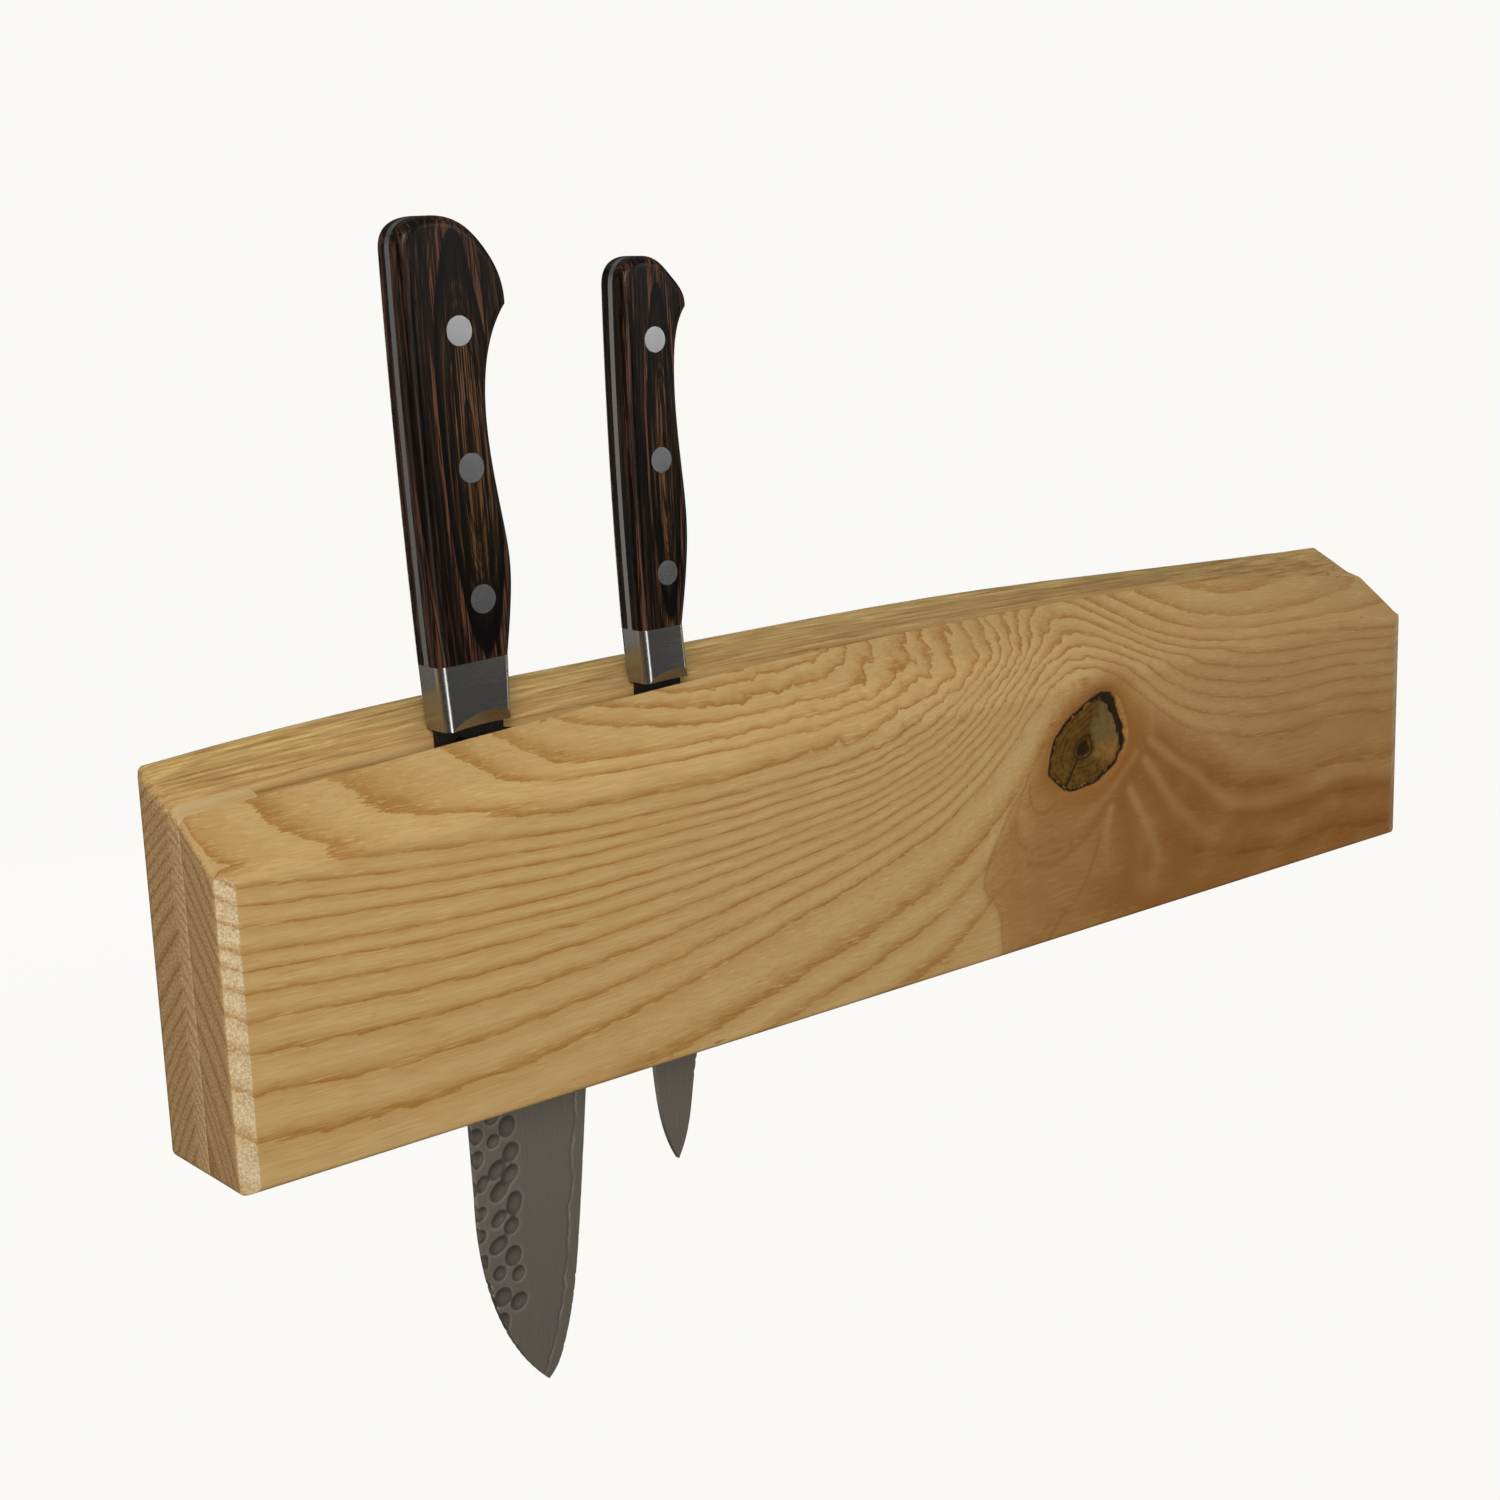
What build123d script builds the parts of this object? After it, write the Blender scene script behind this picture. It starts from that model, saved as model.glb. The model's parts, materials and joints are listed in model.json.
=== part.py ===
from build123d import *
import os
from dataclasses import dataclass
from math import cos, radians, sin, tan

# Wall rack for kitchen knives, with two knives in it. Two long boards are glued up with a
# slot between them, and disc magnets in the rear board hold the blades that stand in the slot.
#
# Millimetres. +X runs along the rack to the right, +Y into the wall, +Z up.
# The origin is on the wall face, midway between the entry holes of the two keyhole hangers.

# ---- rack: driving dimensions ----
rack_length = 450
rear_thickness = 15.5
slot_width = 5
front_thickness = 16.5
origin_height = 60  # from the rack's underside up to the origin

left_spacer_length = 21
right_spacer_length = 14

# Heights above the underside of the crowned top edges, at these stations along the rack.
# The boards' sawn tops are a little uneven, so the crown is not symmetric.
stations = (-225, -170, -60, 40, 130, 225)
wall_edge_heights = (98.3, 102.3, 104.5, 104.6, 101.3, 98.0)  # rear board, at the wall
rear_slot_edge_heights = (90.2, 93.8, 98.8, 100.4, 98.6, 90.0)
front_slot_edge_heights = (88.8, 92.4, 98.4, 100.2, 98.6, 88.6)
bevel_heights = (79.6, 82.2, 88.4, 90.2, 87.4, 79.6)  # front board, part way down its bevel
front_face_heights = (76.4, 77.0, 78.0, 78.0, 77.4, 76.4)  # front board, where its face ends
bevel_station_depth = 4  # from the front face back to where bevel_heights apply

end_edge_fillet = 2.0
front_corner_on_face = 5.0  # the planed corners of the front board: width on its face
front_corner_on_end = 1.8  # and on its end

# ---- magnets ----
magnet_diameter = 20
magnet_thickness = 5
magnet_recess = 0.2  # below the slot's rear wall
magnet_pitch = 34
magnet_count = 11
magnet_height = 60

# ---- keyhole hangers ----
hanger_spacing = 300
hanger_width = 18
hanger_length = 50
hanger_thickness = 2
hanger_centre_height = 4.25  # of the plate, above the entry hole
entry_diameter = 9.5
keyway_width = 4.6
keyway_rise = 11  # from the entry hole's centre up to the keyway's end
head_relief_width = 13
head_relief_depth = 8

screw_offset = 18.75  # from the plate's centre to each of its two screws
screw_diameter = 3.5
screw_head_diameter = 6.6
screw_head_angle = 90
screw_length = 10
screw_tip_length = 2.5
recess_width = 0.9
recess_span = 3.4
recess_depth = 1.1

# ---- both knives ----
blade_gap = 0.3  # between a blade and the slot's rear wall
neck_drop = 3.0  # from the bolster down to where the blade widens
wedge_margin = 5.0  # by which the wedge's section passes the spine and the tip
bolster_corner = 2.5
# Wheels that hollow the foot of the bolster: radius, distance of the centre from the blade's
# middle plane, and its drop below the joint. The rear one bites deeper, to clear the rear board.
front_wheel = (40.0, 40.5, 16.4)
rear_wheel = (60.0, 61.1, 10.6)
scale_edge_fillet = 2.6

# ---- values that follow ----
rack_depth = rear_thickness + slot_width + front_thickness
screw_head_depth = (screw_head_diameter - screw_diameter) / 2 / tan(radians(screw_head_angle / 2))
board_bottom = -origin_height
half_length = rack_length / 2
slot_rear = rear_thickness  # distances in front of the wall
slot_front = rear_thickness + slot_width
magnet_z = board_bottom + magnet_height


@dataclass
class Knife:
    """Sizes of one full-tang knife.

    Its own axes lie in the blade's middle plane: v runs across from the spine towards the
    cutting edge, u runs up from the joint between blade and bolster to the butt.
    """

    name: str
    spine_x: float  # where u = v = 0 stands in the rack
    joint_z: float
    lean: float  # degrees, butt towards -X
    thickness: float  # of the blade at the spine, and of the tang
    handle_thickness: float
    handle_spine_v: float
    bolster_height: float
    bolster_top_v: float
    neck_width: float
    grind_centre_v: float
    belly: tuple  # (v, u) points round the handle, from the belly to the butt
    notch: tuple
    beak: tuple
    shoulder: tuple
    butt_height: float
    butt_corner: tuple  # (width, height) of the rounded corner at the spine
    rivet_v: float
    rivet_heights: tuple
    rivet_diameter: float
    heel: tuple
    edge: tuple  # (v, u) points of the cutting edge, from heel to tip
    tip: tuple
    spine_drop: tuple  # (v, u) points of the spine's curve, from the tip back
    edge_thickness: float

    def plane(self, offset=0):
        """The blade's middle plane, or one that far in front of it: x along v, y along u."""
        lean = radians(self.lean)
        blade_y = -slot_rear - blade_gap - self.thickness / 2
        middle = Plane(
            origin=(self.spine_x, blade_y, self.joint_z),
            x_dir=(cos(lean), 0, sin(lean)),
            z_dir=(0, -1, 0),
        )
        return middle.offset(offset)

    def cross_plane(self):
        """Plane across the knife at the joint, facing the tip: y along the rack's Y axis."""
        lean = radians(self.lean)
        return Plane(
            origin=self.plane().origin,
            x_dir=(-cos(lean), 0, -sin(lean)),
            z_dir=(sin(lean), 0, -cos(lean)),
        )


santoku = Knife(
    name="santoku",
    spine_x=72.6 - half_length,
    joint_z=96.6 + board_bottom,
    lean=2.0,
    thickness=2.0,
    handle_thickness=11.8,
    handle_spine_v=-1.2,
    bolster_height=16.5,
    bolster_top_v=20.8,
    neck_width=20.0,
    grind_centre_v=13.0,
    belly=(23.5, 46),
    notch=(21.9, 88),
    beak=(28.8, 102.4),
    shoulder=(23.4, 117.4),
    butt_height=124.8,
    butt_corner=(9.5, 7.5),
    rivet_v=13.9,
    rivet_heights=(31.7, 64.2, 97.3),
    rivet_diameter=7.3,
    heel=(44.5, -9),
    edge=((43.0, -55), (36.1, -107), (29.6, -148.5), (26.0, -165.4), (22.2, -176.5), (18.6, -182.8)),
    tip=(16.1, -184.8),
    spine_drop=((9.9, -176.9), (1.2, -156), (-1.2, -126)),
    edge_thickness=0.4,
)

petty = Knife(
    name="petty",
    spine_x=135.6 - half_length,
    joint_z=99.1 + board_bottom,
    lean=0.9,
    thickness=1.8,
    handle_thickness=11.0,
    handle_spine_v=-1.6,
    bolster_height=14.4,
    bolster_top_v=13.6,
    neck_width=14.6,
    grind_centre_v=9.5,
    belly=(16.8, 50),
    notch=(15.6, 82),
    beak=(20.2, 97),
    shoulder=(15.9, 105.4),
    butt_height=110.6,
    butt_corner=(7.5, 7.5),
    rivet_v=8.5,
    rivet_heights=(28.8, 58.5, 89.4),
    rivet_diameter=6.6,
    heel=(27.0, -8),
    edge=((25.2, -50), (18.6, -90), (11.9, -114.5), (8.4, -130)),
    tip=(5.0, -136.8),
    spine_drop=((2.2, -130.6), (-0.6, -117), (-1.6, -104)),
    edge_thickness=0.4,
)

knives = (santoku, petty)

finished = []


def keep(builder, name):
    """Label a finished piece and put it on the list of files to write."""
    builder.part.label = name
    finished.append(builder.part)


# ---- boards ----


def board_outline(top_heights):
    """Closed outline of a board from the front: straight underside and ends, crowned top."""
    crest = [(x, board_bottom + height) for x, height in zip(stations, top_heights)]
    with BuildLine() as outline:
        Spline(*crest)
        Polyline(crest[-1], (half_length, board_bottom), (-half_length, board_bottom), crest[0])
    return outline.edges()


def hanger_locations():
    """Entry holes of the two keyhole hangers."""
    return GridLocations(hanger_spacing, 1, 2, 1)


with BuildPart() as rear_board:
    with BuildSketch(Plane.XZ):
        make_face(board_outline(wall_edge_heights))
    with BuildSketch(Plane.XZ.offset(slot_rear)):
        make_face(board_outline(rear_slot_edge_heights))
    loft()
    wall_edges = rear_board.edges().filter_by(Axis.Z).group_by(Axis.Y)[-1]
    fillet(wall_edges, radius=end_edge_fillet)
    # magnet pockets, bored from the slot side
    with BuildSketch(Plane.XZ.offset(slot_rear)):
        with Locations((0, magnet_z)):
            with GridLocations(magnet_pitch, 1, magnet_count, 1):
                Circle(magnet_diameter / 2)
    extrude(amount=-(magnet_recess + magnet_thickness), mode=Mode.SUBTRACT)
    # seats for the hanger plates, let in flush with the wall face
    with BuildSketch(Plane.XZ):
        with hanger_locations():
            with Locations((0, hanger_centre_height)):
                SlotOverall(hanger_length, hanger_width, rotation=90)
    extrude(amount=hanger_thickness, mode=Mode.SUBTRACT)
    # room behind each keyway for the head of the screw in the wall
    with BuildSketch(Plane.XZ):
        with hanger_locations():
            with Locations((0, keyway_rise / 2)):
                SlotOverall(keyway_rise + head_relief_width, head_relief_width, rotation=90)
    extrude(amount=head_relief_depth, mode=Mode.SUBTRACT)
    # pilot holes for the hanger screws
    with BuildSketch(Plane.XZ.offset(hanger_thickness)):
        with hanger_locations():
            with Locations((0, hanger_centre_height)):
                with GridLocations(1, 2 * screw_offset, 1, 2):
                    Circle(screw_diameter / 2)
    extrude(amount=screw_length - hanger_thickness, mode=Mode.SUBTRACT)
keep(rear_board, "rear_board")

with BuildPart() as front_board:
    with BuildSketch(Plane.XZ.offset(slot_front)):
        make_face(board_outline(front_slot_edge_heights))
    with BuildSketch(Plane.XZ.offset(rack_depth - bevel_station_depth)):
        make_face(board_outline(bevel_heights))
    with BuildSketch(Plane.XZ.offset(rack_depth)):
        make_face(board_outline(front_face_heights))
    loft(ruled=True)
    for side in (-1, 1):
        outwards = Axis((0, 0, 0), (side, 0, 0))
        corner = front_board.edges().filter_by(Axis.Z).group_by(Axis.Y)[0].sort_by(outwards)[-1]
        face = front_board.faces().sort_by(Axis.Y)[0]
        chamfer(corner, length=front_corner_on_face, length2=front_corner_on_end, reference=face)
keep(front_board, "front_board")


def end_spacer(name, x_low, x_high):
    """Strip that closes the slot at one end, planed off level with the boards."""
    with BuildPart() as spacer:
        with BuildSketch(Plane.XZ.offset(slot_rear)):
            make_face(board_outline(rear_slot_edge_heights))
        with BuildSketch(Plane.XZ.offset(slot_front)):
            make_face(board_outline(front_slot_edge_heights))
        loft()
        with BuildSketch(Plane.XY.offset(board_bottom)):
            with Locations(((x_low + x_high) / 2, -(slot_rear + slot_front) / 2)):
                Rectangle(x_high - x_low, slot_width)
        extrude(amount=max(rear_slot_edge_heights), mode=Mode.INTERSECT)
    keep(spacer, name)


end_spacer("end_spacer_left", -half_length, -half_length + left_spacer_length)
end_spacer("end_spacer_right", half_length - right_spacer_length, half_length)

with BuildPart() as magnets:
    with BuildSketch(Plane.XZ.offset(slot_rear - magnet_recess)):
        with Locations((0, magnet_z)):
            with GridLocations(magnet_pitch, 1, magnet_count, 1):
                Circle(magnet_diameter / 2)
    extrude(amount=-magnet_thickness)
keep(magnets, "magnets")

# ---- hangers ----


def hanger_plate(name, x):
    """Keyhole plate: the wall screw's head enters below and hooks in the narrow keyway."""
    with BuildPart() as plate:
        with BuildSketch(Plane.XZ):
            with Locations((x, hanger_centre_height)):
                SlotOverall(hanger_length, hanger_width, rotation=90)
            with Locations((x, 0)):
                Circle(entry_diameter / 2, mode=Mode.SUBTRACT)
            with Locations((x, keyway_rise / 2)):
                SlotOverall(keyway_rise + keyway_width, keyway_width, rotation=90, mode=Mode.SUBTRACT)
        extrude(amount=hanger_thickness)
        for side in (-1, 1):
            with Locations(Plane((x, 0, hanger_centre_height + side * screw_offset), z_dir=(0, 1, 0))):
                CounterSinkHole(
                    screw_diameter / 2,
                    screw_head_diameter / 2,
                    counter_sink_angle=screw_head_angle,
                )
    keep(plate, name)


hanger_plate("hanger_plate_left", -hanger_spacing / 2)
hanger_plate("hanger_plate_right", hanger_spacing / 2)

with BuildPart() as hanger_screw:
    with BuildSketch(Plane.XY):
        with BuildLine():
            Polyline(
                (0, 0),
                (screw_head_diameter / 2, 0),
                (screw_diameter / 2, -screw_head_depth),
                (screw_diameter / 2, screw_tip_length - screw_length),
                (0, -screw_length),
                close=True,
            )
        make_face()
    revolve(axis=Axis.Y)
    with Locations((0, -recess_depth / 2, 0)):
        Box(recess_span, recess_depth, recess_width, mode=Mode.SUBTRACT)
        Box(recess_width, recess_depth, recess_span, mode=Mode.SUBTRACT)

with BuildPart() as hanger_screws:
    for x in (-hanger_spacing / 2, hanger_spacing / 2):
        for side in (-1, 1):
            with Locations((x, 0, hanger_centre_height + side * screw_offset)):
                add(hanger_screw.part)
keep(hanger_screws, "hanger_screws")

# ---- knives ----


def make_blade(knife):
    """Blade below the bolster: a plate ground to a thin wedge from spine to cutting edge."""
    with BuildPart() as blade:
        with BuildSketch(knife.plane()):
            with BuildLine():
                back = Line((0, 0), knife.spine_drop[-1])
                point = Spline(back @ 1, *knife.spine_drop[-2::-1], knife.tip)
                cutting_edge = Spline(point @ 1, *knife.edge[::-1], knife.heel)
                Polyline(cutting_edge @ 1, (knife.neck_width, -neck_drop), (knife.neck_width, 0), (0, 0))
            make_face()
        extrude(amount=knife.thickness / 2, both=True)
        with BuildSketch(knife.cross_plane()):
            with BuildLine():
                Polyline(
                    (wedge_margin, -knife.thickness / 2),
                    (0, -knife.thickness / 2),
                    (-knife.heel[0], -knife.edge_thickness / 2),
                    (-knife.heel[0], knife.edge_thickness / 2),
                    (0, knife.thickness / 2),
                    (wedge_margin, knife.thickness / 2),
                    close=True,
                )
            make_face()
        extrude(amount=-knife.tip[1] + wedge_margin, mode=Mode.INTERSECT)
    keep(blade, f"{knife.name}_blade")


def handle_outline(knife):
    """Closed outline of the handle above the bolster, shared by the tang and both scales."""
    end_v = knife.handle_spine_v / 2
    corner_width, corner_height = knife.butt_corner
    butt = knife.butt_height
    with BuildLine() as outline:
        bolster_edge = Line((knife.bolster_top_v, knife.bolster_height), (end_v, knife.bolster_height))
        back = ThreePointArc(
            bolster_edge @ 1,
            (knife.handle_spine_v, (knife.bolster_height + butt) / 2),
            (end_v, butt - corner_height),
        )
        corner = Spline(back @ 1, (end_v + corner_width, butt), tangents=[back % 1, (1, 0)])
        crown = Spline(corner @ 1, knife.shoulder, knife.beak, tangents=[(1, 0), (-0.05, -1)])
        Spline(crown @ 1, knife.notch, knife.belly, bolster_edge @ 0, tangents=[(-1, -1.1), (-0.2, -1)])
    return outline.edges()


def rivet_circles(knife):
    """Sections of the rivets, on the knife's own plane."""
    with Locations(*[(knife.rivet_v, height) for height in knife.rivet_heights]):
        Circle(knife.rivet_diameter / 2)


def make_bolster_tang(knife):
    """Bolster and full tang in one forging: both faces of its foot are hollowed by a wheel."""
    half_handle = knife.handle_thickness / 2
    with BuildPart() as core:
        with BuildSketch(knife.plane()):
            with BuildLine():
                Polyline(
                    (0, 0),
                    (knife.neck_width, 0),
                    (knife.bolster_top_v, knife.bolster_height),
                    (knife.handle_spine_v / 2, knife.bolster_height),
                    close=True,
                )
            make_face()
        extrude(amount=half_handle, both=True)
        up = Axis(knife.plane().origin, knife.plane().y_dir)
        upright_edges = [e for e in core.edges() if abs(e.tangent_at(0.5).dot(up.direction)) > 0.9]
        fillet(upright_edges, radius=bolster_corner)
        for side, (wheel_radius, wheel_offset, wheel_drop) in ((1, front_wheel), (-1, rear_wheel)):
            wheel_centre = Location((knife.grind_centre_v, -wheel_drop, 0))
            with Locations(knife.plane(side * wheel_offset) * wheel_centre):
                Sphere(wheel_radius, mode=Mode.SUBTRACT)
        with BuildSketch(knife.plane()):
            make_face(handle_outline(knife))
        extrude(amount=knife.thickness / 2, both=True)
        with BuildSketch(knife.plane(-half_handle)):
            rivet_circles(knife)
        extrude(amount=knife.handle_thickness, mode=Mode.SUBTRACT)
    keep(core, f"{knife.name}_bolster_tang")


def make_scale(knife, name, side):
    """Handle scale on one side of the tang, rounded over on its outer edges."""
    scale_thickness = (knife.handle_thickness - knife.thickness) / 2
    with BuildPart() as scale:
        with BuildSketch(knife.plane(side * knife.thickness / 2)):
            make_face(handle_outline(knife))
        extrude(amount=side * scale_thickness)
        across = Axis(knife.plane().origin, knife.plane().z_dir * side)
        up = Axis(knife.plane().origin, knife.plane().y_dir)
        outer_face = scale.faces().sort_by(across)[-1]
        fillet(outer_face.edges().sort_by(up)[1:], radius=scale_edge_fillet)
        with BuildSketch(knife.plane(side * knife.thickness / 2)):
            rivet_circles(knife)
        extrude(amount=side * scale_thickness, mode=Mode.SUBTRACT)
    keep(scale, f"{knife.name}_{name}")


def make_rivets(knife):
    """Three rivets through scales and tang, finished flush."""
    with BuildPart() as rivets:
        with BuildSketch(knife.plane(-knife.handle_thickness / 2)):
            rivet_circles(knife)
        extrude(amount=knife.handle_thickness)
    keep(rivets, f"{knife.name}_rivets")


for knife in knives:
    make_blade(knife)
    make_bolster_tang(knife)
    make_scale(knife, "front_scale", 1)
    make_scale(knife, "rear_scale", -1)
    make_rivets(knife)

os.makedirs("parts", exist_ok=True)
for piece in finished:
    export_step(piece, f"parts/{piece.label}.step")
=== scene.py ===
import json
from math import cos, pi, radians, sin

import bpy
import numpy as np
from mathutils import Matrix, Vector
from mathutils.bvhtree import BVHTree

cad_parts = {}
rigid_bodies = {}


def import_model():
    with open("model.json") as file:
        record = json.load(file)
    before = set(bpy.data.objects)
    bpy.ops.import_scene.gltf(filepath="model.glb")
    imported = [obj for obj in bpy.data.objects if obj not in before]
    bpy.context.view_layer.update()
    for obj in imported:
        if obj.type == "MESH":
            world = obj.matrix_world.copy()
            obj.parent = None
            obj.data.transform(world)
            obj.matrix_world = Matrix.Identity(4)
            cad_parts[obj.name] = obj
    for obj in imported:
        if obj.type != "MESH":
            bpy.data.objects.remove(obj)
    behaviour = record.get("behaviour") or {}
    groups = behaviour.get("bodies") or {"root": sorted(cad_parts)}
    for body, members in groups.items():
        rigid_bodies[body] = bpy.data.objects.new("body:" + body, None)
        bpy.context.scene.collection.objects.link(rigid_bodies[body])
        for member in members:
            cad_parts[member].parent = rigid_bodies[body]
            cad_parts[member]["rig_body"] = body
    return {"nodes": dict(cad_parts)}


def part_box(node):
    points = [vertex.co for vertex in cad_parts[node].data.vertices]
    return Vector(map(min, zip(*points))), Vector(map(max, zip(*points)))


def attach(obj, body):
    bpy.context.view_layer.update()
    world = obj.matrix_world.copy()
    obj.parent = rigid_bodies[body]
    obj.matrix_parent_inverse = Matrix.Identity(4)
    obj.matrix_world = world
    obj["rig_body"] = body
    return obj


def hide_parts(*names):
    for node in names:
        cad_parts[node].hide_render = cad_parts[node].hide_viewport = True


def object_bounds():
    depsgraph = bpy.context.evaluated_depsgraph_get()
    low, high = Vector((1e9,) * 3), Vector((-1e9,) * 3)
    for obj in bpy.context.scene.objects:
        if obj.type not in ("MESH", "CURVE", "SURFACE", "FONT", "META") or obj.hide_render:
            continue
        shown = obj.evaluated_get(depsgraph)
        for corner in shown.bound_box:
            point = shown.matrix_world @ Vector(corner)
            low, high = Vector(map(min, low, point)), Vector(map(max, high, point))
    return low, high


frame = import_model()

cad_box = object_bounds()

# Metres, in the rack's own frame: +X runs along the rack to the right, +Y into the wall, +Z up.
# The wood's figure and the knives' details are worked out in mm.
mm = 0.001
sharp_angle = 50  # degrees; edges sharper than this are shaded sharp

# ---- shapes ----


def cad_tree(name):
    """Search tree over the faces of a CAD node, to read its surface."""
    mesh = frame["nodes"][name].data
    vertices = [v.co.copy() for v in mesh.vertices]
    faces = [list(face.vertices) for face in mesh.polygons]
    return BVHTree.FromPolygons(vertices, faces)


def grid_lines(low, high, step, *zones):
    """Places from low to high about a step apart, or closer inside a zone (from, to, step)."""
    places = [low]
    while places[-1] < high - step / 2:
        steps = [zone[2] for zone in zones if zone[0] - 1e-9 <= places[-1] < zone[1] - 1e-9]
        places.append(places[-1] + min([step, *steps]))
    places[-1] = high
    return np.array(places)


def box_lattice(x, y, z):
    """Points and quads of a box's closed surface, with grid lines at the given places."""
    shape = (len(x), len(y), len(z))
    shell = np.zeros(shape, bool)
    for axis in range(3):
        for end in (0, -1):
            shell[(slice(None),) * axis + (end,)] = True
    number = np.full(shape, -1)
    number[shell] = np.arange(shell.sum())
    points = np.stack(np.meshgrid(x, y, z, indexing="ij"), axis=-1)[shell]
    quads = []
    for axis in range(3):
        for end in (0, -1):
            side = np.take(number, end, axis=axis)
            corners = [side[:-1, :-1], side[1:, :-1], side[1:, 1:], side[:-1, 1:]]
            if (end == 0) != (axis == 1):
                corners.reverse()
            quads.append(np.stack(corners, axis=-1).reshape(-1, 4))
    return points, np.concatenate(quads)


def round_edges(points, low, high, radius):
    """Points of a box's surface, moved in over its edges and corners by a radius."""
    core = np.clip(points, low + radius, high - radius)
    reach = points - core
    length = np.linalg.norm(reach, axis=1, keepdims=True)
    return core + reach * np.minimum(1, radius / np.maximum(length, 1e-9))


def new_mesh(name, vertices, faces, sharp_over=sharp_angle):
    """A mesh object, shaded smooth except over edges sharper than the angle."""
    mesh = bpy.data.meshes.new(name)
    mesh.from_pydata(list(vertices), [], list(faces))
    mesh.validate()
    piece = bpy.data.objects.new(name, mesh)
    bpy.context.scene.collection.objects.link(piece)
    mesh.shade_smooth()
    mesh.set_sharp_from_angle(angle=radians(sharp_over))
    return piece


def positions(piece):
    """The vertices of a piece, as an array."""
    flat = np.zeros(len(piece.data.vertices) * 3)
    piece.data.vertices.foreach_get("co", flat)
    return flat.reshape(-1, 3)


def store(piece, name, values):
    """Keep a number or vector for each vertex of a piece, for its material to read."""
    is_vector = values.ndim == 2
    kind, field = ("FLOAT_VECTOR", "vector") if is_vector else ("FLOAT", "value")
    attribute = piece.data.attributes.new(name, kind, "POINT")
    attribute.data.foreach_set(field, values.astype(np.float32).ravel())


# ---- rack: shape ----

rack_low, rack_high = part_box("front_board")
rack_high = Vector((rack_high.x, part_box("rear_board")[1].y, rack_high.z))
board_bottom = rack_low.z
slot_rear_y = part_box("rear_board")[0].y

nominal_height = 100 * mm  # of the plain box that a board is before its top is shaped
front_face_height = 78 * mm  # about, from the underside up to the bevel
outer_radius = 1.8 * mm
slot_radius = 0.3 * mm
crease_softness = 1.6 * mm
corner_on_face = 5.0 * mm  # planed corners of the front board
corner_on_end = 1.8 * mm
left_crown_radius = 3.0 * mm  # where the crown runs out into the ends
right_crown_radius = 4.0 * mm
right_wall_radius = 5.0 * mm  # upright edge of the right end, at the wall

# The knot in the front board: its pith, from the left end and above the underside, and the
# outline of its bark, in mm from the pith, all the way round.
pith_x = 288 * mm
pith_z = 57.5 * mm
check_angle = -2.2  # radians; the drying check runs down to the left from the pith
sunk_skin = 3  # mm behind the face; deeper down, nothing is pushed in
knot_outline = (
    (19, 1.7), (15.6, 9.4), (13.6, 16.2), (0.9, 12.4), (-9.3, 7.4), (-14.1, -0.2),
    (-15, -6.6), (-10.2, -8.1), (-7.6, -11.3), (0.8, -11.0), (10.4, -8.9), (16.8, -4.6),
)
knot_reach = 26 * mm  # of its close grid lines to each side of the pith,
knot_half_height = 20 * mm  # and up and down
figured_from, figured_to = 240 * mm, 350 * mm  # stretch of the board with marks round the knot


class Top:
    """A board's crowned top, read off its CAD node, with its creases softened."""

    def __init__(self, node):
        low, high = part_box(node)
        inset = 0.02 * mm
        self.tree = cad_tree(node)
        self.x_low, self.x_high = low.x + inset, high.x - inset
        self.y_low, self.y_high = low.y + inset, high.y - inset

    def height(self, x, y):
        """Height of the top at a place in plan.

        Off a rounded corner there is no board below, so the search goes on a little inwards.
        """
        inwards = mm if y < (self.y_low + self.y_high) / 2 else -mm
        for step in (0, 0.2, 0.6, 1.2, 2.0):
            start = Vector((x, y + step * inwards, 1))
            hit = self.tree.ray_cast(start, Vector((0, 0, -1)))[0]
            if hit is not None:
                return hit.z
        raise ValueError(f"no board under {x}, {y}")

    def heights(self, points):
        """Heights at many places, each a mean across the board, which softens creases."""
        x = np.clip(points[:, 0], self.x_low, self.x_high)
        y = np.clip(points[:, 1], self.y_low, self.y_high)
        reach = np.minimum(crease_softness, np.minimum(y - self.y_low, self.y_high - y))
        shares = (-1, -0.5, 0, 0.5, 1)
        rows = [[self.height(*place) for place in zip(x, y + share * reach)] for share in shares]
        return np.mean(rows, axis=0)


def plane_corners(points):
    """Plane a flat on each front corner of the rack."""
    for side in (-1, 1):
        end_x = rack_low.x if side < 0 else rack_high.x
        normal = np.array((side * corner_on_end, -corner_on_face))
        normal /= np.hypot(corner_on_end, corner_on_face)
        on_plane = np.array((end_x - side * corner_on_face, rack_low.y))
        proud = np.maximum((points[:, :2] - on_plane) @ normal, 0)
        points[:, :2] -= proud[:, None] * normal
    return points


def round_ends(points, low, high):
    """Round the ends of a plain box's top, and its right end at the wall, by more."""
    for axes, corner, signs, radius in (
        ((0, 2), (low[0], high[2]), (-1, 1), left_crown_radius),
        ((0, 2), (high[0], high[2]), (1, 1), right_crown_radius),
        ((0, 1), (high[0], high[1]), (1, 1), right_wall_radius),
    ):
        centre = np.array(corner) - radius * np.array(signs)
        reach = points[:, axes] - centre
        length = np.linalg.norm(reach, axis=1)
        proud = (reach * signs > 0).all(axis=1) & (length > radius)
        share = np.where(proud, radius / np.maximum(length, 1e-9), 1)
        points[:, axes] = centre + reach * share[:, None]
    return points


depth_step, rise_step = 1.2 * mm, 1.8 * mm  # between a board's grid lines, across and up it
figure_step = 0.9 * mm  # along it, over the marks,
knot_step, knot_rise_step = 0.6 * mm, 0.75 * mm  # along and up it, over the knot,
fine_step = 0.5 * mm  # and over eased edges
edge_reach = 2 * mm  # how far in from a long edge, and
end_reach = 6 * mm  # from an end, the lines are that close


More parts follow.
